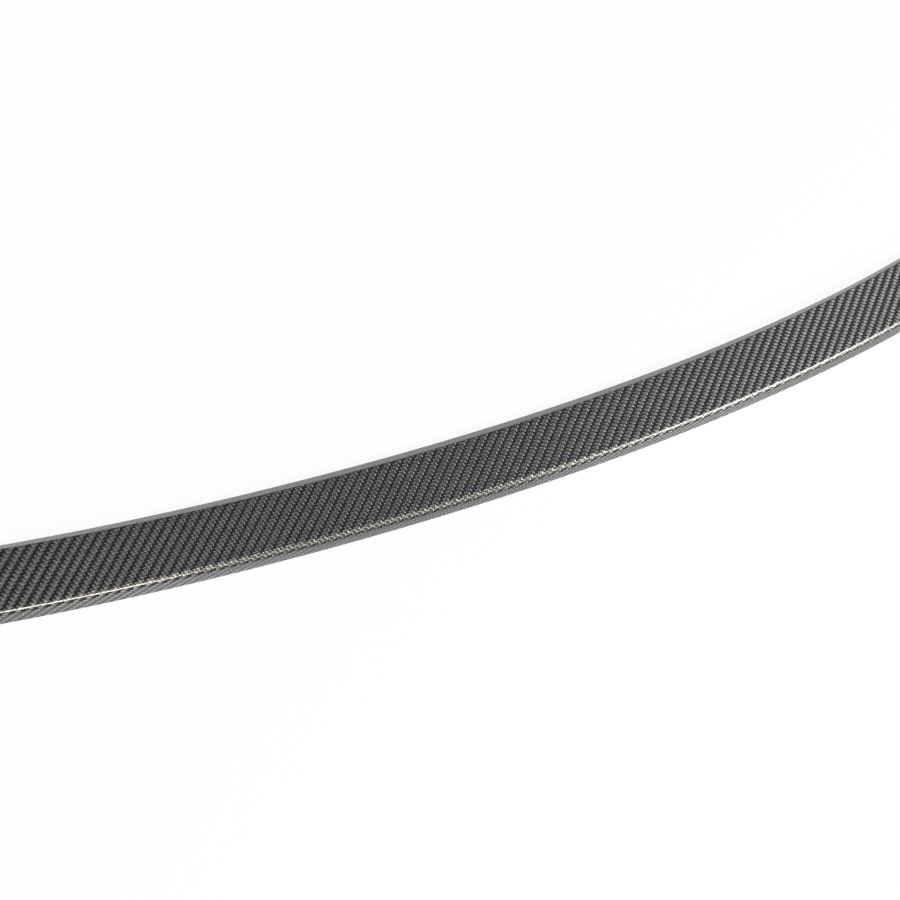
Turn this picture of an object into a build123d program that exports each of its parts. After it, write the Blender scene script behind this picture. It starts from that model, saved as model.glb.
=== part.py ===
"""A slim carbon-fibre lip for the rear edge of a car's boot lid, moulded as one thin shell.

X runs across the car, Y towards the front of the car and Z up.
The lip stands on its two bonding lands at Z = 0 and is the same on both sides of X = 0.
Lengths are in millimetres and angles in degrees.
"""

import os
from math import hypot, radians, tan

from build123d import *

# The plan of the sharp crest, Y = X^2 / (2 * middle_radius) + X^4 / quicken_reach^3
half_length = 580.0
middle_radius = 2850.0
quicken_reach = 1862.0

# The section, square to the crest
crest_height = 15.3
front_height = 9.4
upper_run = 40.2
front_angle_middle = 63.0
front_angle_end = 73.5
rear_lean_middle = 12.5
rear_lean_end = 19.5

# The laminate, its bonding lands and its rounded edges
wall = 2.0
land_width = 9.0
crest_radius = 4.2
front_radius = 1.2

# The closed tips, lower and narrower than the rest
taper_length = 150.0
tip_crest_height = 8.6
tip_front_height = 5.8
tip_upper_run = 20.0
tip_corner_radius = 9.0
tip_solid = 16.0

# How many sections shape one half of the straight stretch, and each taper
stretch_sections = 4
taper_sections = 5


def crest_y(s):
    """Y of the sharp crest over X = s."""
    return s**2 / (2 * middle_radius) + s**4 / quicken_reach**3


def crest_slope(s):
    """How fast the crest runs forward over X = s."""
    return s / middle_radius + 4 * s**3 / quicken_reach**3


def tapered(s, along, at_tip):
    """A size that holds along the lip and bends ever faster towards its value at the tip."""
    share = max(abs(s) - half_length + taper_length, 0.0) / taper_length
    return along + (at_tip - along) * share**2


def turned(s, middle, at_end):
    """A wall's angle, which turns ever faster from the middle to where the taper starts."""
    share = min(abs(s) / (half_length - taper_length), 1.0)
    return radians(middle + (at_end - middle) * share**2)


def front_angle(s):
    """How steep the front wall is over X = s."""
    return turned(s, front_angle_middle, front_angle_end)


def rear_lean(s):
    """How far the rear wall leans from upright over X = s."""
    return turned(s, rear_lean_middle, rear_lean_end)


def station_plane(s):
    """The plane square to the crest over X = s, its own x forward and its own y up."""
    slope = crest_slope(s)
    size = hypot(1, slope)
    forward = (-slope / size, 1 / size, 0)
    along = (1 / size, slope / size, 0)
    return Plane(origin=(s, crest_y(s), 0), x_dir=forward, z_dir=along)


def corners(s):
    """The outer corners of the section: rear foot, crest, front edge and front foot.

    In the taper the front foot keeps its line, and the crest comes forward as the section narrows.
    """
    crest_z = tapered(s, crest_height, tip_crest_height)
    front_z = tapered(s, front_height, tip_front_height)
    front_foot_x = upper_run + front_height / tan(front_angle(s))
    front_x = front_foot_x - front_z / tan(front_angle(s))
    crest_x = front_x - tapered(s, upper_run, tip_upper_run)
    rear_foot_x = crest_x - crest_z * tan(rear_lean(s))
    return (rear_foot_x, 0), (crest_x, crest_z), (front_x, front_z), (front_foot_x, 0)


def rounded(before, corner, after, radius):
    """Start, middle and end of the arc that rounds a corner between two straight runs."""
    ax, ay = before[0] - corner[0], before[1] - corner[1]
    bx, by = after[0] - corner[0], after[1] - corner[1]
    a, b = hypot(ax, ay), hypot(bx, by)
    ax, ay, bx, by = ax / a, ay / a, bx / b, by / b
    half_cos = hypot(ax + bx, ay + by) / 2
    half_sin = hypot(ax - bx, ay - by) / 2
    back = radius * half_cos / half_sin
    start = (corner[0] + ax * back, corner[1] + ay * back)
    end = (corner[0] + bx * back, corner[1] + by * back)
    inward = (radius / half_sin - radius) / (2 * half_cos)
    middle = (corner[0] + (ax + bx) * inward, corner[1] + (ay + by) * inward)
    return start, middle, end


def outer_face(s):
    """The whole outline of the lip over X = s, with its two walls carried on below the feet."""
    rear_foot, crest, front, front_foot = corners(s)
    crest_arc = rounded(rear_foot, crest, front, crest_radius)
    front_arc = rounded(crest, front, front_foot, front_radius)
    rear_end = (rear_foot[0] - wall * tan(rear_lean(s)), -wall)
    front_end = (front_foot[0] + wall / tan(front_angle(s)), -wall)
    outline = [
        Line(rear_end, crest_arc[0]),
        ThreePointArc(*crest_arc),
        Line(crest_arc[2], front_arc[0]),
        ThreePointArc(*front_arc),
        Line(front_arc[2], front_end),
        Line(front_end, rear_end),
    ]
    return station_plane(s) * make_face(outline)


def meet(p, q, r, t):
    """Where the line through p and q meets the line through r and t."""
    ax, ay = q[0] - p[0], q[1] - p[1]
    bx, by = t[0] - r[0], t[1] - r[1]
    share = ((r[0] - p[0]) * by - (r[1] - p[1]) * bx) / (ax * by - ay * bx)
    return p[0] + ax * share, p[1] + ay * share


def inset(p, q):
    """The straight run from p to q moved inward by the wall."""
    dx, dy = q[0] - p[0], q[1] - p[1]
    size = hypot(dx, dy)
    nx, ny = dy / size * wall, -dx / size * wall
    return (p[0] + nx, p[1] + ny), (q[0] + nx, q[1] + ny)


def hollow_face(s):
    """The hollow under the lip over X = s: a chamber over the lands and the mouth between them."""
    rear_foot, crest, front, front_foot = corners(s)
    rear = inset(rear_foot, crest)
    upper = inset(crest, front)
    nose = inset(front, front_foot)
    floor = ((0, wall), (1, wall))
    rear_mouth = rear_foot[0] + land_width
    front_mouth = front_foot[0] - land_width
    points = [
        (rear_mouth, -wall),
        (rear_mouth, wall),
        meet(*rear, *floor),
        meet(*rear, *upper),
        meet(*upper, *nose),
        meet(*nose, *floor),
        (front_mouth, wall),
        (front_mouth, -wall),
    ]
    return station_plane(s) * make_face(Polyline(*points, close=True))


def section_places(reach):
    """Section places from one end to the other, the last at the given reach from the middle."""
    straight = half_length - taper_length
    right = [straight * k / stretch_sections for k in range(1, stretch_sections + 1)]
    right += [straight + (reach - straight) * k / taper_sections for k in range(1, taper_sections + 1)]
    return [-s for s in reversed(right)] + [0.0] + right


def foot_points(s, beyond):
    """Where the section's rear and front feet stand over X = s, each moved outward by beyond."""
    rear_foot, _, _, front_foot = corners(s)
    plane = station_plane(s)
    rear = plane.from_local_coords((rear_foot[0] - beyond, 0, 0))
    front = plane.from_local_coords((front_foot[0] + beyond, 0, 0))
    return rear, front


def tip_trim():
    """What is cut off the right-hand tip so that its two upright corners are round in plan.

    The kept plan stays outside both walls: along the bulging rear wall it runs on the tangent at the
    tip, and along the hollow front wall on a chord.
    """
    reach = 2 * tip_corner_radius
    rear, front = foot_points(half_length, 0)
    near_rear, _ = foot_points(half_length - wall, 0)
    _, inner_front = foot_points(half_length - reach, 0)
    inner_rear = rear + (near_rear - rear) * (reach / wall)
    kept = make_face(Polyline(inner_rear, rear, front, inner_front, close=True))
    kept = fillet(kept.vertices().sort_by(Axis.X)[-2:], tip_corner_radius)
    rear, front = foot_points(half_length, wall)
    inner_rear, inner_front = foot_points(half_length - reach + wall, wall)
    past = station_plane(half_length).z_dir * wall
    around = make_face(Polyline(inner_rear, rear + past, front + past, inner_front, close=True))
    return extrude(around - kept, crest_height)


trim = tip_trim()
body = loft([outer_face(s) for s in section_places(half_length)])
body = split(body, Plane.XY, keep=Keep.TOP)
body -= trim
body -= mirror(trim, Plane.YZ)
hollow = loft([hollow_face(s) for s in section_places(half_length - tip_solid)])
lip = body - hollow
lip = Pos(0, -lip.bounding_box().center().Y, 0) * lip

os.makedirs("parts", exist_ok=True)
export_step(lip, "parts/spoiler_lip.step")
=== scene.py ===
# %% [markdown]
# A lip spoiler for a car's boot lid: a slim, bowed moulding a little over a metre long, laid up
# from woven carbon cloth and finished with a thick gloss clear coat. It rests flat on two bonding
# lands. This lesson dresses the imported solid: a swept skin worked out with numpy, a woven material
# that follows the cloth, and a plain pale studio. X runs across the car, Y towards its front and Z
# up, and lengths are in metres.

import math

import bmesh
import bpy
import numpy as np
from mathutils import Matrix, Vector


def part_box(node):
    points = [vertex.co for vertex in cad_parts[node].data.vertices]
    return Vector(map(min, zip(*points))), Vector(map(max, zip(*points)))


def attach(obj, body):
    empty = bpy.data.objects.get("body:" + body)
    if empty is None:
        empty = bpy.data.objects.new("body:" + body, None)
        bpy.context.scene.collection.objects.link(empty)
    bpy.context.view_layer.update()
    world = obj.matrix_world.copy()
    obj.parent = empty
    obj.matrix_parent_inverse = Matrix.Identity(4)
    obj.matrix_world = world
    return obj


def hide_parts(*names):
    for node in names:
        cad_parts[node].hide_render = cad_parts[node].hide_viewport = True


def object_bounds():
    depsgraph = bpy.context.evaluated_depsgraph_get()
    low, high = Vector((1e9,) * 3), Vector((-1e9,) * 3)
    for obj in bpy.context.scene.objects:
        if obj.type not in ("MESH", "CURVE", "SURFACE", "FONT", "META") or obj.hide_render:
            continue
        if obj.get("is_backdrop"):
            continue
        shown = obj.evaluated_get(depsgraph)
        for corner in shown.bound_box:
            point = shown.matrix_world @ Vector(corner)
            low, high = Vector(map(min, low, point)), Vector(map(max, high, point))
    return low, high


MM = 0.001

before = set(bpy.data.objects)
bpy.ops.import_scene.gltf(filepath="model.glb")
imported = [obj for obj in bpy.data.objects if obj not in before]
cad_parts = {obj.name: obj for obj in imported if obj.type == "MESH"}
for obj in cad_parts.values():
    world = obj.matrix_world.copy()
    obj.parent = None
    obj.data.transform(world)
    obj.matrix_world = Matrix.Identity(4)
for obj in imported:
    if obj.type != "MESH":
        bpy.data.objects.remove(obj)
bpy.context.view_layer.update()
low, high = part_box("spoiler_lip")
print("packed nodes:", sorted(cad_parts))
print("packed box in millimetres:", [round(side / MM, 2) for side in high - low])

# %% [markdown]
# The solid already has the right form, but its triangles are loose and carry no cloth direction,
# and a weave needs one. A box projection would shear the pattern on the walls. So the lip is swept
# again from the same driving sizes, and each point remembers where it lay on the flat cloth.

# %% Driving sizes of the lip
HALF_LENGTH = 580 * MM
MIDDLE_RADIUS = 2850 * MM
QUICKEN_REACH = 1862 * MM
CREST_HEIGHT = 15.3 * MM
FRONT_HEIGHT = 9.4 * MM
UPPER_RUN = 40.2 * MM
FRONT_ANGLE_MIDDLE = math.radians(63)
FRONT_ANGLE_END = math.radians(73.5)
REAR_LEAN_MIDDLE = math.radians(12.5)
REAR_LEAN_END = math.radians(19.5)
WALL = 2 * MM
LAND_WIDTH = 9 * MM
CREST_RADIUS = 4.2 * MM
FRONT_RADIUS = 1.2 * MM
TAPER_LENGTH = 150 * MM
TIP_CREST_HEIGHT = 8.6 * MM
TIP_FRONT_HEIGHT = 5.8 * MM
TIP_UPPER_RUN = 20 * MM
TIP_CORNER_RADIUS = 9 * MM
TIP_SOLID = 16 * MM
HOLLOW_HALF = HALF_LENGTH - TIP_SOLID
print("the crest's plan spans, in metres:", 2 * HALF_LENGTH)


# %% [markdown]
# A few small functions carry the whole form. The crest's plan is a shallow bow that quickens
# towards the tips, the two walls turn a little along the lip, and the section shrinks over the
# last stretch.

# %% The crest's plan and the section's corners
def crest_plan(s):
    """The crest's plan over X = s, and its slope.

    Y is X squared over twice the middle radius, plus X to the fourth over the reach cubed.
    """
    y = s**2 / (2 * MIDDLE_RADIUS) + s**4 / QUICKEN_REACH**3
    slope = s / MIDDLE_RADIUS + 4 * s**3 / QUICKEN_REACH**3
    return y, slope


def tapered(s, along, at_tip):
    """A size that holds along the lip and nears its tip value with the square of the taper's share."""
    share = np.maximum(np.abs(s) - HALF_LENGTH + TAPER_LENGTH, 0) / TAPER_LENGTH
    return along + (at_tip - along) * share**2


def turned(s, middle, at_end):
    """A wall's angle over X = s.

    It turns with the square of the distance from the middle, up to where the taper starts.
    """
    share = np.minimum(np.abs(s) / (HALF_LENGTH - TAPER_LENGTH), 1)
    return middle + (at_end - middle) * share**2


def front_run(s):
    """How far the front wall comes forward for each unit of its height."""
    return 1 / np.tan(turned(s, FRONT_ANGLE_MIDDLE, FRONT_ANGLE_END))


def rear_run(s):
    """How far the rear wall leans forward for each unit of its height."""
    return np.tan(turned(s, REAR_LEAN_MIDDLE, REAR_LEAN_END))


def corners(s):
    """The section's four corners: rear foot, crest, front edge and front foot.

    Each is a pair of forward distance and height. In the taper the front foot keeps its line, and
    the crest comes forward as the section narrows.
    """
    crest_z = tapered(s, CREST_HEIGHT, TIP_CREST_HEIGHT)
    front_z = tapered(s, FRONT_HEIGHT, TIP_FRONT_HEIGHT)
    run = tapered(s, UPPER_RUN, TIP_UPPER_RUN)
    foot_x = UPPER_RUN + FRONT_HEIGHT * front_run(s)
    front_x = foot_x - front_z * front_run(s)
    crest_x = front_x - run
    rear_x = crest_x - crest_z * rear_run(s)
    pairs = ((rear_x, 0 * s), (crest_x, crest_z), (front_x, front_z), (foot_x, 0 * s))
    return [np.stack(pair, axis=-1) for pair in pairs]


middle_s0 = np.array(0.0)
middle_crest_y, _ = crest_plan(middle_s0)
middle_rear_foot = corners(middle_s0)[0]
CENTRE_SHIFT = low.y - float(middle_crest_y + middle_rear_foot[0])
print("the plan's shift along Y in millimetres:", round(CENTRE_SHIFT / MM, 3))

# %% [markdown]
# The skin is a grid. One direction runs along the lip and the other goes up the rear wall, round
# the crest, down the upper face, round the front edge and down the front wall. Each column knows
# which stretch of the section it is on, and at what share of it, so the whole grid is worked out at
# once. A point that two stretches share is counted once.

# %% Columns round the section
REAR_WALL, CREST, UPPER, FRONT, FRONT_WALL = range(5)
STRETCHES = (
    (REAR_WALL, np.linspace(0, 1, 6)[:-1]),
    (CREST, np.linspace(0, 1, 15)),
    (UPPER, np.linspace(0, 1, 12)[1:]),
    (FRONT, np.linspace(0, 1, 8)[1:]),
    (FRONT_WALL, np.linspace(0, 1, 4)[1:]),
)
COLUMN_STRETCH = np.concatenate([np.full(len(shares), name) for name, shares in STRETCHES])
COLUMN_SHARE = np.concatenate([shares for name, shares in STRETCHES])
COLUMNS = len(COLUMN_SHARE)
print("columns round the section:", COLUMNS)


# %% [markdown]
# The crest and the front edge are rounded. A Bevel modifier could round them too, but the cloth's
# coordinates would no longer be exact across the arcs. So each fillet is worked out from its corner:
# where it touches the two straight runs, its centre, and the angles it turns between.

# %% Fillets and points of the skin
def unit(v):
    """Each vector of an array divided by its length."""
    return v / np.linalg.norm(v, axis=-1, keepdims=True)


def rounding(before, corner, after, radius):
    """A fillet between two lines: its two touching points, its centre and the angles it turns between.

    The centre lies on the corner's bisector, the radius over the sine of half the corner's angle away.
    """
    back, on = unit(before - corner), unit(after - corner)
    half = np.arccos(np.sum(back * on, axis=-1)) / 2
    touch = (radius / np.tan(half))[..., None]
    centre = corner + unit(back + on) * (radius / np.sin(half))[..., None]
    first, last = corner + back * touch, corner + on * touch
    turn = [np.arctan2((p - centre)[..., 1], (p - centre)[..., 0]) for p in (first, last)]
    return first, last, centre, turn


def skin_section(s):
    """Forward distance and height of every skin point, and the crest fillet's reach along the face.

    The walls and the face are straight lines between touching points, and the two edges are arcs
    about the fillets' centres.
    """
    rear, crest, front, foot = corners(s)
    soft = CREST_RADIUS + 0 * s
    crisp = FRONT_RADIUS + 0 * s
    crest_from, crest_to, crest_mid, crest_turn = rounding(rear, crest, front, soft)
    front_from, front_to, front_mid, front_turn = rounding(crest, front, foot, crisp)
    share = COLUMN_SHARE[None, :, None]

    def line(start, end):
        return start + (end - start) * share

    def arc(centre, radius, turn):
        angle = turn[0] + (turn[1] - turn[0]) * COLUMN_SHARE
        return centre + radius[..., None] * np.stack([np.cos(angle), np.sin(angle)], axis=-1)

    stretch = COLUMN_STRETCH[None, :, None]
    points = np.select(
        [stretch == REAR_WALL, stretch == CREST, stretch == UPPER, stretch == FRONT],
        [
            line(rear, crest_from),
            arc(crest_mid, soft, crest_turn),
            line(crest_to, front_from),
            arc(front_mid, crisp, front_turn),
        ],
        line(front_to, foot),
    )
    from_crest = np.linalg.norm(crest_to - crest, axis=-1)
    return points, from_crest


def placed(s, section):
    """A section's points in the frame: the crest's plan plus the forward distance along its normal."""
    y, slope = crest_plan(s)
    forward = section[..., 0] / np.hypot(1, slope)
    return np.stack([s - forward * slope, y + forward + CENTRE_SHIFT, section[..., 1]], axis=-1)


middle_section, _ = skin_section(np.zeros((1, 1)))
section_size = np.ptp(middle_section[0], axis=0) / MM
print("middle section, width and height in millimetres:", np.round(section_size, 2))


# %% [markdown]
# Seen from above, the tips are cut square and their corners are rounded. Cutting the mesh would
# leave ragged faces. Instead the last few rows are drawn in, so that the end row follows the
# rounded outline: each column stops where a circle at the rear or front corner lets it. A drawn-in
# row has a slightly different section, so the fit is repeated until it settles.

# %% Rows along the lip, with rounded tips
MIDDLE_ROWS = 760
TIP_ROWS = 9
SETTLE_ROUNDS = 4

middle_s = np.linspace(-HOLLOW_HALF, HOLLOW_HALF, MIDDLE_ROWS)
tip_s = np.linspace(HOLLOW_HALF, HALF_LENGTH, TIP_ROWS + 1)[1:]
row_s = np.concatenate([-tip_s[::-1], middle_s, tip_s])
plan_stretch = float(np.hypot(1, crest_plan(np.array(HALF_LENGTH))[1]))


def tip_end(s):
    """How far out each column may go: the tip, less what the corner circles take off.

    A column nearer to a foot than the radius loses the radius less the root of the radius squared
    minus the missing distance squared.
    """
    section, _ = skin_section(s)
    rear, _, _, foot = corners(s)
    inset = np.minimum(section[..., 0] - rear[..., 0], foot[..., 0] - section[..., 0])
    short = np.clip(TIP_CORNER_RADIUS - inset, 0, TIP_CORNER_RADIUS)
    taken = TIP_CORNER_RADIUS - np.sqrt(TIP_CORNER_RADIUS**2 - short**2)
    return HALF_LENGTH - taken / plan_stretch


square_s = np.repeat(row_s[:, None], COLUMNS, axis=1)
past = np.maximum(np.abs(square_s) - HOLLOW_HALF, 0) / TIP_SOLID
skin_s = square_s
for _ in range(SETTLE_ROUNDS):
    reach = tip_end(np.clip(skin_s, -HALF_LENGTH, HALF_LENGTH)) - HOLLOW_HALF
    skin_s = np.where(past > 0, np.sign(square_s) * (HOLLOW_HALF + past * reach), square_s)
skin_section_points, crest_touch = skin_section(skin_s)
skin = placed(skin_s, skin_section_points)
print("skin grid:", skin.shape, "length in metres:", round(float(np.ptp(skin[..., 0])), 5))

# %% [markdown]
# Where each point lay on the flat cloth is its UV. The cloth was laid with one set of tows along
# the car's width, so the section is unrolled about the crest and set down square to the crest's
# plan. One unit of UV is one tow.

# %% The cloth's flat coordinates
TOW = 2.0 * MM

steps = np.linalg.norm(np.diff(skin_section_points, axis=1), axis=-1)
along_section = np.concatenate([np.zeros((len(skin_s), 1)), np.cumsum(steps, axis=1)], axis=1)
upper_start = int(np.argmax(COLUMN_STRETCH == UPPER)) - 1
unrolled = along_section - along_section[:, upper_start:upper_start + 1] + crest_touch
plan_y, plan_slope = crest_plan(skin_s)
flat_step = unrolled / np.hypot(1, plan_slope)
cloth = np.stack([skin_s - flat_step * plan_slope, plan_y + flat_step], axis=-1) / TOW
print("tows across the upper face:", round(UPPER_RUN / TOW, 1))


# %% [markdown]
# Below, the lip is an open shell: two bonding lands, and a hollow that follows the walls two
# millimetres in. A Solidify modifier would give the walls but not the lands, so the hollow is its
# own strip of eight lines, and each tip is closed by flat faces.

# %% The hollow and the lands
def hollow_section(s):
    """The hollow's eight corners as pairs of forward distance and height.

    The lands' inner edges lie at the base and one wall up. The others are where the two walls and
    the roof, each moved in by the wall, meet the lands' tops and each other.
    """
    rear, crest, front, foot = corners(s)
    lean = rear_run(s)
    steep = front_run(s)
    fall = (front[..., 1] - crest[..., 1]) / (front[..., 0] - crest[..., 0])
    rear_in = rear[..., 0] + WALL * np.hypot(1, lean)
    front_in = foot[..., 0] - WALL * np.hypot(1, steep)
    roof_in = crest[..., 1] - fall * crest[..., 0] - WALL * np.hypot(1, fall)
    crest_z = (roof_in + fall * rear_in) / (1 - fall * lean)
    front_z = (roof_in + fall * front_in) / (1 + fall * steep)
    rear_land = rear[..., 0] + LAND_WIDTH
    front_land = foot[..., 0] - LAND_WIDTH
    base = 0 * s
    step = WALL + 0 * s
    pairs = (
        (rear_land, base),
        (rear_land, step),
        (rear_in + lean * WALL, step),
        (rear_in + lean * crest_z, crest_z),
        (front_in - steep * front_z, front_z),
        (front_in - steep * WALL, step),
        (front_land, step),
        (front_land, base),
    )
    return np.stack([np.stack(pair, axis=-1) for pair in pairs], axis=-2)


hollow = placed(middle_s[:, None], hollow_section(middle_s))
HOLLOW_LINES = hollow.shape[1]
print("hollow grid:", hollow.shape)


# %% [markdown]
# A mesh needs its faces as lists of point numbers. Every grid gives its four-sided faces in the same
# way, so one function serves the skin, the hollow and the strips that join them: the lands between
# skin and hollow, and the upright ends of the tips. Only the tips' flat bases and the ends of the
# hollow are single, larger faces.

# %% Faces from grids of point numbers
def grid_faces(numbers):
    """Four-sided faces between neighbouring rows and columns of a grid of point numbers."""
    a, b = numbers[:-1, :-1], numbers[1:, :-1]
    c, d = numbers[1:, 1:], numbers[:-1, 1:]
    return np.stack([a, b, c, d], axis=-1).reshape(-1, 4)


rows = len(row_s)
skin_no = np.arange(rows * COLUMNS).reshape(rows, COLUMNS)
hollow_no = skin_no.size + np.arange(hollow.shape[0] * HOLLOW_LINES).reshape(-1, HOLLOW_LINES)
foot_start = skin_no.size + hollow_no.size
left_foot_no = foot_start + np.arange(COLUMNS)
right_foot_no = left_foot_no + COLUMNS
end_feet = np.stack([skin[0], skin[-1]]) * np.array([1.0, 1.0, 0.0])
all_points = np.concatenate([skin.reshape(-1, 3), hollow.reshape(-1, 3), end_feet.reshape(-1, 3)])

middle = slice(TIP_ROWS, TIP_ROWS + MIDDLE_ROWS)
coated = [
    grid_faces(skin_no),
    grid_faces(np.stack([skin_no[0], left_foot_no])),
    grid_faces(np.stack([skin_no[-1], right_foot_no])),
]
plain = [
    grid_faces(hollow_no),
    grid_faces(np.stack([skin_no[middle, 0], hollow_no[:, 0]], axis=1)),
    grid_faces(np.stack([hollow_no[:, -1], skin_no[middle, -1]], axis=1)),
]


def tip_base(side_rows, end_no, hollow_row):
    """The flat base of a tip as a loop of point numbers.

    It goes out along the rear foot, round the end, back along the front foot and across the mouth.
    """
    out = skin_no[side_rows, 0].tolist()
    around = end_no[1:-1].tolist()
    back = skin_no[side_rows, -1][::-1].tolist()
    return [*out, *around, *back, int(hollow_row[-1]), int(hollow_row[0])]


left_rows = np.arange(TIP_ROWS, -1, -1)
right_rows = np.arange(TIP_ROWS + MIDDLE_ROWS - 1, rows)
closing = [
    tip_base(left_rows, left_foot_no, hollow_no[0]),
    tip_base(right_rows, right_foot_no, hollow_no[-1]),
    hollow_no[0].tolist(),
    hollow_no[-1].tolist(),
]
coated_faces = np.concatenate(coated)
plain_faces = np.concatenate(plain)
faces = coated_faces.tolist() + plain_faces.tolist() + closing
print("faces:", len(faces))

# %% [markdown]
# All points and faces go into one mesh, because the lip is one moulding. Each corner of a face takes
# its point's place on the cloth, and each face the number of its finish: the coated skin is first
# and the bare underside second.

# %% The lip's mesh
COATED_FINISH = 0
BARE_FINISH = 1

lip_mesh = bpy.data.meshes.new("lip_shell")
lip_mesh.from_pydata(all_points.tolist(), [], faces)
cloth_map = lip_mesh.uv_layers.new(name="cloth")
point_cloth = np.concatenate([
    cloth.reshape(-1, 2),
    hollow[..., :2].reshape(-1, 2) / TOW,
    cloth[0],
    cloth[-1],
])
corner_points = np.empty(len(lip_mesh.loops), dtype=np.int32)
lip_mesh.loops.foreach_get("vertex_index", corner_points)
cloth_map.data.foreach_set("uv", point_cloth[corner_points].astype(np.float32).ravel())
finish_index = np.full(len(faces), BARE_FINISH, dtype=np.int32)
finish_index[:len(coated_faces)] = COATED_FINISH
lip_mesh.polygons.foreach_set("material_index", finish_index)
lip_mesh.polygons.foreach_set("use_smooth", np.ones(len(faces), dtype=bool))
print("points:", len(lip_mesh.vertices), "corners:", len(corner_points))

# %% [markdown]
# The grids meet along shared lines, so merging the doubled points closes the shell, and on a closed
# shell Blender can turn every face outwards. Sharp edges are marked by angle. A fine bevel then
# breaks the trimmed edges, as the maker's sanding does, and weighted normals keep the flat faces flat.

# %% The lip as one closed piece
SEAM = 1e-6
SHARP_ANGLE = math.radians(35)
EDGE_BREAK = 0.3 * MM
EDGE_SEGMENTS = 2


def new_object(name, data):
    """A new object for a mesh, light or camera, linked into the scene."""
    thing = bpy.data.objects.new(name, data)
    bpy.context.scene.collection.objects.link(thing)
    return thing


shell = bmesh.new()
shell.from_mesh(lip_mesh)
bmesh.ops.remove_doubles(shell, verts=shell.verts, dist=SEAM)
bmesh.ops.recalc_face_normals(shell, faces=shell.faces)
open_edges = sum(1 for edge in shell.edges if not edge.is_manifold)
volume = shell.calc_volume()
shell.to_mesh(lip_mesh)
shell.free()
lip_mesh.set_sharp_from_angle(angle=SHARP_ANGLE)

lip = new_object("carbon_lip", lip_mesh)
edge_break = lip.modifiers.new("edge_break", "BEVEL")
edge_break.width = EDGE_BREAK
edge_break.segments = EDGE_SEGMENTS
edge_break.limit_method = "ANGLE"
edge_break.angle_limit = SHARP_ANGLE
flat_faces = lip.modifiers.new("flat_faces", "WEIGHTED_NORMAL")
flat_faces.keep_sharp = True
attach(lip, "root")
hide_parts("spoiler_lip")
print("open edges:", open_edges, "volume in cubic millimetres:", round(volume / MM**3))

# %% [markdown]
# The visible finish is two-by-two twill: each tow passes over two and under two, and each row steps
# one along, which draws the diagonal lines. Carbon fibre is shiny across its fibres and dark along
# them, so the two sets of tows catch different lamps. Painted stripes alone would look right from
# one side only. Here the weave sets which way the fibres run and how pale each tow is, an
# anisotropic gloss does the rest, and a clear coat lies over everything. The width tows are also
# painted paler than the depth tows, a painted sheen on top of the real gloss.

# %% Helpers for shader nodes
MIX_COLOURS = (6, 7)
MIX_COLOUR_OUT = 2


def add_node(tree, kind, inputs=None, **settings):
    """A new shader node with its settings, and with values or other nodes' outputs on its sockets."""
    node = tree.nodes.new(kind)
    for name, value in settings.items():
        setattr(node, name, value)
    for socket, value in (inputs or {}).items():
        if isinstance(value, bpy.types.NodeSocket):
            tree.links.new(value, node.inputs[socket])
        else:
            node.inputs[socket].default_value = value
    return node


def calc(tree, operation, *values):
    """A Math node's output."""
    return add_node(tree, "ShaderNodeMath", dict(enumerate(values)), operation=operation).outputs[0]


def blend(tree, share, first, second):
    """A plain mix of two colours."""
    sockets = {0: share, MIX_COLOURS[0]: first, MIX_COLOURS[1]: second}
    return add_node(tree, "ShaderNodeMix", sockets, data_type="RGBA").outputs[MIX_COLOUR_OUT]


def remapped(tree, value, before, after=(0.0, 1.0), easing="LINEAR"):
    """A value carried from one range to another and held at its ends."""
    sockets = {"Value": value}
    sockets["From Min"], sockets["From Max"] = before
    sockets["To Min"], sockets["To Max"] = after
    return add_node(tree, "ShaderNodeMapRange", sockets, interpolation_type=easing).outputs[0]


def new_finish(name):
    """An empty node material with its output node."""
    finish = bpy.data.materials.new(name)
    finish.use_nodes = True
    finish.node_tree.nodes.clear()
    output = finish.node_tree.nodes.new("ShaderNodeOutputMaterial")
    return finish, finish.node_tree, output


print("shader helpers ready")

# %% [markdown]
# The weave repeats every four tows. Width tows run across the car and depth tows from rear to front.
# Counting whole tows both ways, with each row shifted by one, tells which family lies on top at a
# point, and how far the point is from the middle of its float, the stretch where a tow lies on top.
# A slow noise lets the tows wander a little, as cloth does when it is pressed into a mould.

# %% Where a point lies in the weave
WANDER_SCALE = 28.0
WANDER_TOWS = 0.5
NOISE_MIDDLE = (0.5, 0.5, 0.5)
TOW_MIDDLE = 0.5
HALF_REPEAT = 2.0
HALF_FLOAT = 1.0
WIDTH_SHIFT = 3.0
MIX_NUMBERS = (2, 3)

carbon, weave, carbon_out = new_finish("carbon_twill_clear_coat")
object_place = add_node(weave, "ShaderNodeTexCoord").outputs["Object"]
flat_cloth = add_node(weave, "ShaderNodeUVMap", uv_map="cloth").outputs[0]
wander = add_node(
    weave, "ShaderNodeTexNoise",
    {"Vector": object_place, "Scale": WANDER_SCALE, "Detail": 1.0},
).outputs["Color"]
off_centre = add_node(
    weave, "ShaderNodeVectorMath", {0: wander, 1: NOISE_MIDDLE}, operation="SUBTRACT"
).outputs[0]
shifted = add_node(
    weave, "ShaderNodeVectorMath",
    {0: off_centre, 1: (WANDER_TOWS, WANDER_TOWS, 0.0), 2: flat_cloth}, operation="MULTIPLY_ADD",
).outputs[0]
axes = add_node(weave, "ShaderNodeSeparateXYZ", {0: shifted}).outputs
width_tow = calc(weave, "FLOOR", axes[1])
depth_tow = calc(weave, "FLOOR", axes[0])
depth_from = calc(weave, "SUBTRACT", axes[1], depth_tow)
depth_along = calc(weave, "WRAP", depth_from, HALF_REPEAT, -HALF_REPEAT)
width_from = calc(weave, "SUBTRACT", calc(weave, "SUBTRACT", axes[0], width_tow), WIDTH_SHIFT)
width_along = calc(weave, "WRAP", width_from, HALF_REPEAT, -HALF_REPEAT)
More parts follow.
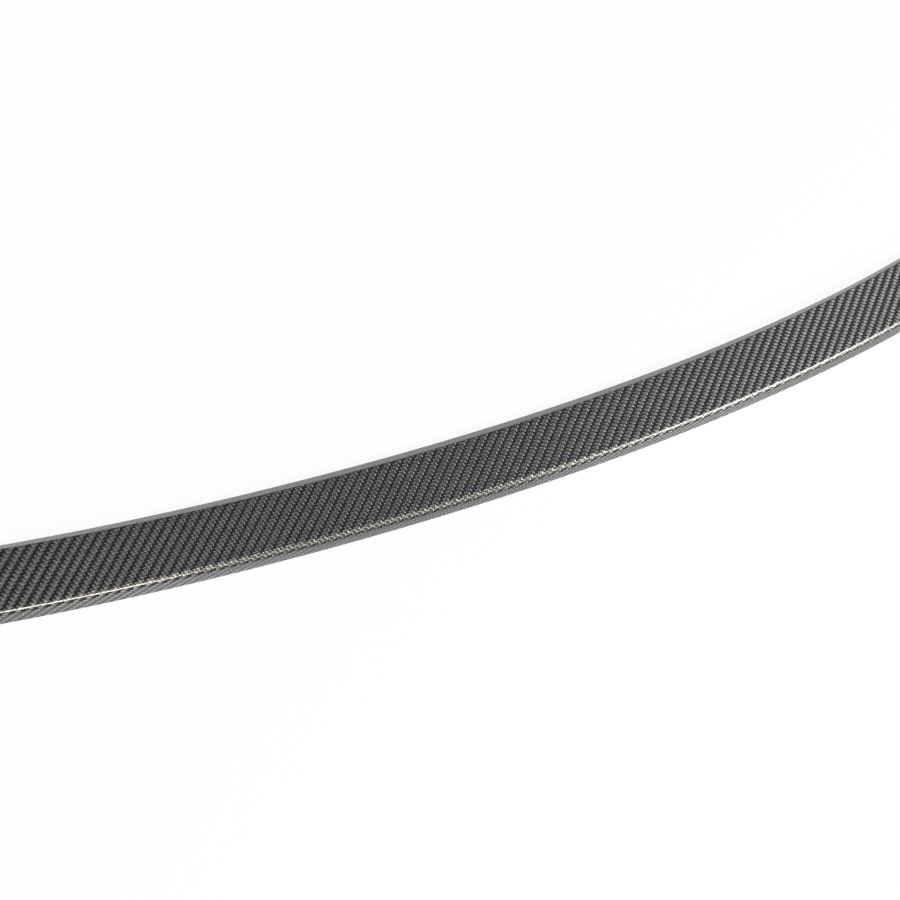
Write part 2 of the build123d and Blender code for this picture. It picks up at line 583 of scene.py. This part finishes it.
depth_on_top = calc(weave, "LESS_THAN", calc(weave, "ABSOLUTE", depth_along), HALF_FLOAT)
depth_across = calc(weave, "SUBTRACT", calc(weave, "FRACT", axes[0]), TOW_MIDDLE)
width_across = calc(weave, "SUBTRACT", calc(weave, "FRACT", axes[1]), TOW_MIDDLE)


def by_family(width_value, depth_value):
    """The value of whichever family of tows is on top."""
    sockets = {0: depth_on_top, MIX_NUMBERS[0]: width_value, MIX_NUMBERS[1]: depth_value}
    return add_node(weave, "ShaderNodeMix", sockets, data_type="FLOAT").outputs[0]


float_along = by_family(width_along, depth_along)
float_across = by_family(width_across, depth_across)
print("weave nodes so far:", len(weave.nodes))


# %% [markdown]
# A tow isn't flat. It arches over the tows it crosses, dives at both ends of its float and rolls off
# at its sides, and that is where its bright spot and dark ends come from. A Bump node would need a
# height and blur at this scale. So the tilt itself is worked out along and across the float, and the
# surface's normal leans by it.

# %% The shape of each float
DIVE_POWER = 2.86
WIDTH_DIVE = 0.38
DEPTH_DIVE = 0.75
WIDTH_ROUND = 0.32
DEPTH_ROUND = -0.42
WIDTH_ARCH = 0.60
WIDTH_LEAN = 0.048
WIDTH_TWIST = -0.155


def scaled(vector, share):
    """A vector times a number."""
    sockets = {0: vector, "Scale": share}
    return add_node(weave, "ShaderNodeVectorMath", sockets, operation="SCALE").outputs[0]


def joined(operation, first, second):
    """Two vectors added, crossed or multiplied."""
    sockets = {0: first, 1: second}
    return add_node(weave, "ShaderNodeVectorMath", sockets, operation=operation).outputs[0]


sideways = calc(weave, "MULTIPLY", float_across, 1 / TOW_MIDDLE)
steepening = calc(weave, "POWER", calc(weave, "ABSOLUTE", float_along), DIVE_POWER - 1)
curl = calc(weave, "MULTIPLY", float_along, steepening)
even_dive = calc(weave, "MULTIPLY", curl, by_family(WIDTH_DIVE, DEPTH_DIVE))
arched = calc(weave, "MULTIPLY", even_dive, calc(weave, "MULTIPLY_ADD", sideways, WIDTH_ARCH, 1.0))
twist = calc(weave, "MULTIPLY_ADD", float_along, WIDTH_TWIST, WIDTH_LEAN)
dive = by_family(calc(weave, "MULTIPLY_ADD", sideways, twist, arched), even_dive)
roll_off = calc(weave, "MULTIPLY", sideways, by_family(WIDTH_ROUND, DEPTH_ROUND))
smooth_way = add_node(weave, "ShaderNodeNewGeometry").outputs["Normal"]
width_way = add_node(weave, "ShaderNodeTangent", direction_type="UV_MAP", uv_map="cloth").outputs[0]
depth_way = joined("CROSS_PRODUCT", smooth_way, width_way)
leaned = joined("ADD", smooth_way, scaled(width_way, by_family(dive, roll_off)))
leaned = joined("ADD", leaned, scaled(depth_way, by_family(roll_off, dive)))
float_way = add_node(weave, "ShaderNodeVectorMath", {0: leaned}, operation="NORMALIZE").outputs[0]
print("weave nodes so far:", len(weave.nodes))

# %% [markdown]
# Up close a tow is a bundle of thousands of fibres, and no two tows take the light quite alike.
# Noise that is drawn out along the tow gives streaks of fibres, and a random number for each tow
# gives it a tone of its own. Towards a tow's sides, where it turns down, the tone is darkened: a
# painted shade.

# %% Fibres and the tone of each tow
FIBRE_FINE = 9.0
FIBRE_LONG = 0.7
FIBRE_SPREAD = (0.25, 0.75)
FIBRE_TONES = (0.75, 1.25)
ROW_SPREAD = (0.0, 1.0)
ROW_TONES = (0.85, 1.15)
SIDE_PAINTED_SHADE = 0.15
DEPTH_NUMBERS_FROM = 977.0

fibre_place = add_node(
    weave, "ShaderNodeCombineXYZ",
    {
        0: calc(weave, "MULTIPLY", axes[0], by_family(FIBRE_LONG, FIBRE_FINE)),
        1: calc(weave, "MULTIPLY", axes[1], by_family(FIBRE_FINE, FIBRE_LONG)),
    },
).outputs[0]
fibres = add_node(
    weave, "ShaderNodeTexNoise", {"Vector": fibre_place, "Scale": 1.0, "Detail": 2.0}
).outputs["Fac"]
tow_number = by_family(width_tow, calc(weave, "ADD", depth_tow, DEPTH_NUMBERS_FROM))
tow_tone = add_node(
    weave, "ShaderNodeTexWhiteNoise", {"W": tow_number}, noise_dimensions="1D"
).outputs["Value"]
fibre_tone = remapped(weave, fibres, FIBRE_SPREAD, FIBRE_TONES)
row_tone = remapped(weave, tow_tone, ROW_SPREAD, ROW_TONES)
# Painted shade: the tone is darkened towards each tow's sides, where the gaps between tows lie.
side_painted_shade = calc(weave, "MULTIPLY", calc(weave, "MULTIPLY", sideways, sideways), SIDE_PAINTED_SHADE)
fibre_row_tone = calc(weave, "MULTIPLY", fibre_tone, row_tone)
tone = calc(weave, "MULTIPLY", fibre_row_tone, calc(weave, "SUBTRACT", 1.0, side_painted_shade))
print("weave nodes so far:", len(weave.nodes))

# %% [markdown]
# The cloth is the same all over, but its painted colour is not. Over the crest near the middle of
# the lip the tows are painted paler and warmer, a painted highlight. On the rear wall the depth tows
# are painted nearly black, a painted shade. Which way the surface faces tells the upper face,
# the crest and the wall apart, so the skin keeps one finish and has no line where it changes.

# %% Upper face, crest and rear wall
FACE_TO_CREST = (0.143, 0.06)
CREST_TO_WALL = (-0.05, -0.88)
WALL_PAINTED_SHADE_FROM = (-0.65, -0.9)
ENDS_TO_MIDDLE = (0.26, 0.12)

faces_front = add_node(weave, "ShaderNodeSeparateXYZ", {0: smooth_way}).outputs[1]
past_face = remapped(weave, faces_front, FACE_TO_CREST, easing="SMOOTHSTEP")
past_crest = remapped(weave, faces_front, CREST_TO_WALL, easing="SMOOTHSTEP")
# Painted shade mask: where the surface faces rearwards, the darker rear wall tow colours take over.
rear_wall_painted_shade_share = remapped(weave, faces_front, WALL_PAINTED_SHADE_FROM, easing="SMOOTHSTEP")
crest_share = calc(weave, "MULTIPLY", past_face, calc(weave, "SUBTRACT", 1.0, past_crest))
across_car = add_node(weave, "ShaderNodeSeparateXYZ", {0: object_place}).outputs[0]
from_middle = calc(weave, "ABSOLUTE", across_car)
near_middle = remapped(weave, from_middle, ENDS_TO_MIDDLE, easing="SMOOTHSTEP")
print("weave nodes so far:", len(weave.nodes))

# %% [markdown]
# One shader carries it all: a dark, nearly metallic base with a strongly drawn-out gloss, which is
# turned a quarter for the width tows, and over it the clear coat with a finer gloss of its own.
# Values that are the same everywhere are set straight on its sockets.

# %% The laminate's colour, gloss and coat
# Painted sheen: the width tows are painted paler than the depth tows, on top of the real anisotropic
# gloss.
LIT_WIDTH_TOWS = (0.169, 0.167, 0.162, 1.0)
SHADED_DEPTH_TOWS = (0.104, 0.104, 0.104, 1.0)
# Painted shade: on the rear wall the depth tows are painted nearly black.
LIT_WALL_WIDTH_TOWS = (0.165, 0.161, 0.157, 1.0)
SHADED_WALL_DEPTH_TOWS = (0.015, 0.015, 0.015, 1.0)
# Painted highlight: over the crest the tows' colour is multiplied up, paler and warmer near the
# middle.
CREST_PAINTED_HIGHLIGHT = (2.25, 2.18, 1.95, 1.0)
END_PAINTED_HIGHLIGHT = (0.95, 0.95, 0.95, 1.0)
NO_PAINTED_HIGHLIGHT = (1.0, 1.0, 1.0, 1.0)
EDGE_TINT = (0.22, 0.22, 0.22, 1.0)
LAMINATE_ROUGHNESS = 0.45
LAMINATE_ANISOTROPY = 0.985
LAMINATE_METAL = 0.9
QUARTER_TURN = 0.25
COAT_ROUGHNESS = 0.15
COAT_IOR = 1.5

upper_tows = blend(weave, depth_on_top, LIT_WIDTH_TOWS, SHADED_DEPTH_TOWS)
shaded_wall_tows = blend(weave, depth_on_top, LIT_WALL_WIDTH_TOWS, SHADED_WALL_DEPTH_TOWS)
plain_tows = blend(weave, rear_wall_painted_shade_share, upper_tows, shaded_wall_tows)
crest_painted_highlight = blend(weave, near_middle, END_PAINTED_HIGHLIGHT, CREST_PAINTED_HIGHLIGHT)
crest_painted_highlight_tint = blend(weave, crest_share, NO_PAINTED_HIGHLIGHT, crest_painted_highlight)
tow_colour = joined("MULTIPLY", plain_tows, crest_painted_highlight_tint)
laminate = add_node(
    weave, "ShaderNodeBsdfPrincipled",
    {
        "Base Color": scaled(tow_colour, tone),
        "Metallic": LAMINATE_METAL,
        "Roughness": LAMINATE_ROUGHNESS,
        "Specular Tint": EDGE_TINT,
        "Anisotropic": LAMINATE_ANISOTROPY,
        "Anisotropic Rotation": by_family(QUARTER_TURN, 0.0),
        "Tangent": width_way,
        "Normal": float_way,
        "Coat Weight": 1.0,
        "Coat Roughness": COAT_ROUGHNESS,
        "Coat IOR": COAT_IOR,
    },
)
weave.links.new(laminate.outputs[0], carbon_out.inputs["Surface"])
lip_mesh.materials.append(carbon)
print("carbon nodes:", len(weave.nodes))

# %% [markdown]
# The underside is bare resin, as it leaves the mould: dull, nearly black, with the faint criss-cross
# that the maker's peel cloth leaves. Two crossed waves in object space give that print.

# %% The bare underside
PEEL_SCALE = 450.0
PEEL_WARP = 0.4
PEEL_DEPTH = 0.05 * MM
PEEL_STRENGTH = 0.4
PATCH_SCALE = 60.0
RESIN_DARK = (0.018, 0.018, 0.019, 1.0)
RESIN_PALE = (0.04, 0.04, 0.041, 1.0)
RESIN_SPREAD = (0.0, 1.0)
RESIN_ROUGHNESS = (0.45, 0.7)

resin, peel, resin_out = new_finish("bare_peel_resin")
peel_place = add_node(peel, "ShaderNodeTexCoord").outputs["Object"]
wave_sockets = {"Vector": peel_place, "Scale": PEEL_SCALE, "Distortion": PEEL_WARP}
peel_waves = [
    add_node(peel, "ShaderNodeTexWave", wave_sockets, bands_direction=way).outputs["Fac"]
    for way in ("X", "Y")
]
peel_print = calc(peel, "MULTIPLY", *peel_waves)
patches = add_node(
    peel, "ShaderNodeTexNoise", {"Vector": peel_place, "Scale": PATCH_SCALE, "Detail": 3.0}
).outputs["Fac"]
peel_bump = add_node(
    peel, "ShaderNodeBump", {"Strength": PEEL_STRENGTH, "Distance": PEEL_DEPTH, "Height": peel_print}
).outputs[0]
resin_shader = add_node(
    peel, "ShaderNodeBsdfPrincipled",
    {
        "Base Color": blend(peel, patches, RESIN_DARK, RESIN_PALE),
        "Roughness": remapped(peel, patches, RESIN_SPREAD, RESIN_ROUGHNESS),
        "Normal": peel_bump,
    },
)
peel.links.new(resin_shader.outputs[0], resin_out.inputs["Surface"])
lip_mesh.materials.append(resin)
print("resin nodes:", len(peel.nodes))

# %% [markdown]
# The studio is a wide sheet of pale paper. It shows itself as white to the camera and to mirror
# reflections, and still takes the lip's shadow. At a grazing angle the coat mirrors it, which turns
# the steep walls grey. Behind the lip its image in mirror rays fades, a little nearer to the lip at
# the right: a painted shade in the reflection, which darkens the rear wall. The paper lies just
# under the lands and is clear from below, so that the underside can be looked at.

# %% The floor
FLOOR_HALF = 6.0
FLOOR_DROP = -0.2 * MM
FLOOR_GLOW = 0.95
REAR_SPAN = (-0.10, -0.05)
REAR_MIRROR_PAINTED_SHADE = 0.3
REAR_SLANT = 0.075
PAPER_WHITE = (0.99, 0.99, 1.0, 1.0)
PAPER_MATT = (0.05, 0.05, 0.05, 1.0)

corner_signs = np.array([[-1, -1], [1, -1], [1, 1], [-1, 1]], dtype=float)
floor_points = np.concatenate([corner_signs * FLOOR_HALF, np.full((4, 1), FLOOR_DROP)], axis=1)
floor_mesh = bpy.data.meshes.new("studio_floor")
floor_mesh.from_pydata(floor_points.tolist(), [], [[0, 1, 2, 3]])
floor = new_object("studio_floor", floor_mesh)
floor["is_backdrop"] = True

paper, paper_tree, paper_out = new_finish("studio_paper")
seen = add_node(paper_tree, "ShaderNodeLightPath").outputs
floor_place = add_node(paper_tree, "ShaderNodeTexCoord").outputs["Object"]
floor_axes = add_node(paper_tree, "ShaderNodeSeparateXYZ", {0: floor_place}).outputs
# Painted shade in reflections: behind the lip the paper's glow in mirror rays falls to a fraction.
slant = calc(paper_tree, "MULTIPLY", floor_axes[0], REAR_SLANT)
forward_of_slant = calc(paper_tree, "SUBTRACT", floor_axes[1], slant)
painted_shade_in_mirror = remapped(paper_tree, forward_of_slant, REAR_SPAN, (REAR_MIRROR_PAINTED_SHADE, 1.0))
mirrored = calc(paper_tree, "MULTIPLY", seen["Is Glossy Ray"], painted_shade_in_mirror)
straight = calc(paper_tree, "MAXIMUM", seen["Is Camera Ray"], seen["Is Transmission Ray"])
shown = calc(paper_tree, "MAXIMUM", straight, mirrored)
glow = add_node(
    paper_tree, "ShaderNodeEmission",
    {"Color": PAPER_WHITE, "Strength": calc(paper_tree, "MULTIPLY", shown, FLOOR_GLOW)},
)
matt = add_node(paper_tree, "ShaderNodeBsdfDiffuse", {"Color": PAPER_MATT})
both = add_node(paper_tree, "ShaderNodeAddShader", {0: glow.outputs[0], 1: matt.outputs[0]})
from_below = add_node(paper_tree, "ShaderNodeNewGeometry").outputs["Backfacing"]
clear = add_node(paper_tree, "ShaderNodeBsdfTransparent")
one_sided = add_node(
    paper_tree, "ShaderNodeMixShader", {0: from_below, 1: both.outputs[0], 2: clear.outputs[0]}
)
paper_tree.links.new(one_sided.outputs[0], paper_out.inputs["Surface"])
paper.cycles.emission_sampling = "NONE"
floor_mesh.materials.append(paper)
print("floor side in metres:", 2 * FLOOR_HALF)


# %% [markdown]
# Three lamps stand behind the lip, and the crest mirrors them as its bright line. A warm lamp at the
# rear draws the left stretch. At the right rear a wider one, with a low strip under it, draws the
# broader right stretch. In the middle no lamp is mirrored, and the crest's bright band there is a
# painted highlight in the tows' colour.

# %% Lamps
WARM = (1.0, 0.965, 0.90)
NEUTRAL = (1.0, 0.988, 0.955)


def soft_lamp(name, place, aim, size, power, colour):
    """A rectangular lamp at a place, turned towards the point it aims at."""
    light = bpy.data.lights.new(name, "AREA")
    light.shape = "RECTANGLE"
    light.size, light.size_y = size
    light.energy = power
    light.color = colour
    lamp = new_object(name, light)
    lamp.location = place
    lamp.rotation_euler = (Vector(aim) - Vector(place)).to_track_quat("-Z", "Y").to_euler()


soft_lamp(
    "lamp_left",
    place=(-0.04, -1.14, 1.0), aim=(0.08, -0.03, 0.01), size=(0.42, 0.43), power=15.5, colour=WARM,
)
soft_lamp(
    "lamp_right",
    place=(1.36, -0.82, 1.11), aim=(0.745, 0.06, 0.0), size=(0.76, 0.46), power=26.0, colour=NEUTRAL,
)
soft_lamp(
    "lamp_low",
    place=(1.62, -1.30, 0.67), aim=(0.82, 0.08, 0.0), size=(0.80, 0.20), power=11.0, colour=NEUTRAL,
)
print("lamps:", len(bpy.data.lights))

# %% [markdown]
# The room is dim, and the upper face mirrors it softly: dark at the left, blue-grey in the middle
# and pale at the right. Low down and in front it is a plain grey, so that the coat also has something
# even to mirror when the lip is seen from other sides. To the camera itself the room is as white as
# the paper.

# %% Room
ROOM_STOPS = (
    (0.15, (0.05, 0.05, 0.05, 1.0)),
    (0.40, (0.12, 0.16, 0.27, 1.0)),
    (0.62, (0.66, 0.65, 0.60, 1.0)),
)
ROOM_LOW = (0.45, 0.45, 0.45, 1.0)
LOW_SPAN = (0.5, 0.3)
FRONT_SPAN = (-0.3, 0.0)
BACKDROP = (0.95, 0.95, 0.955, 1.0)

room = bpy.data.worlds.new("dim_room")
room.use_nodes = True
room_tree = room.node_tree
room_way = add_node(room_tree, "ShaderNodeTexCoord").outputs["Generated"]
room_axes = add_node(room_tree, "ShaderNodeSeparateXYZ", {0: room_way}).outputs
room_ramp = add_node(room_tree, "ShaderNodeValToRGB", {0: room_axes[0]})
ramp_stops = room_ramp.color_ramp.elements
ramp_stops.new(ROOM_STOPS[1][0])
for stop, (position, colour) in zip(ramp_stops, ROOM_STOPS):
    stop.position = position
    stop.color = colour
low_down = remapped(room_tree, room_axes[2], LOW_SPAN)
not_behind = remapped(room_tree, room_axes[1], FRONT_SPAN)
low_share = calc(room_tree, "MULTIPLY", low_down, not_behind)
room_tone = blend(room_tree, low_share, room_ramp.outputs[0], ROOM_LOW)
to_camera = add_node(room_tree, "ShaderNodeLightPath").outputs["Is Camera Ray"]
room_shown = blend(room_tree, to_camera, room_tone, BACKDROP)
room_tree.links.new(room_shown, room_tree.nodes["Background"].inputs["Color"])
bpy.context.scene.world = room
print("room nodes:", len(room_tree.nodes))

# %% [markdown]
# The camera stands high at the left rear with a long lens, and is turned about its own axis, so
# that the lip climbs from the lower left to the upper right and leaves the picture at both sides.

# %% Camera
LENS_PIXELS = 2027.5
PICTURE_WIDTH = 900
SENSOR = 36.0
CLIP_NEAR = 0.05
CLIP_FAR = 50.0
CAMERA_PLACE = Vector((-0.47392, -0.19176, 1.24463))
CAMERA_AIM = Vector((0.05935, -0.01836, 0.007))
CAMERA_ROLL = math.radians(55.0)

lens = bpy.data.cameras.new("camera")
lens.sensor_width = SENSOR
lens.lens = SENSOR * LENS_PIXELS / PICTURE_WIDTH
lens.clip_start = CLIP_NEAR
lens.clip_end = CLIP_FAR
camera = new_object("camera", lens)
look = (CAMERA_AIM - CAMERA_PLACE).to_track_quat("-Z", "Y").to_matrix().to_4x4()
camera.matrix_world = Matrix.Translation(CAMERA_PLACE) @ look @ Matrix.Rotation(CAMERA_ROLL, 4, "Z")
bpy.context.scene.camera = camera
bpy.context.scene.view_settings.view_transform = "Standard"
print("lens in millimetres:", round(lens.lens, 2))

# %% [markdown]
# Dressing the lip must not change its size. So the dressed lip's box is printed, to be set against
# the imported solid's box printed at the start.

# %% Sizes and finish
dressed_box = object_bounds()
dressed_mm = [[round(side / MM, 2) for side in corner] for corner in dressed_box]
print("dressed box in millimetres:", dressed_mm)
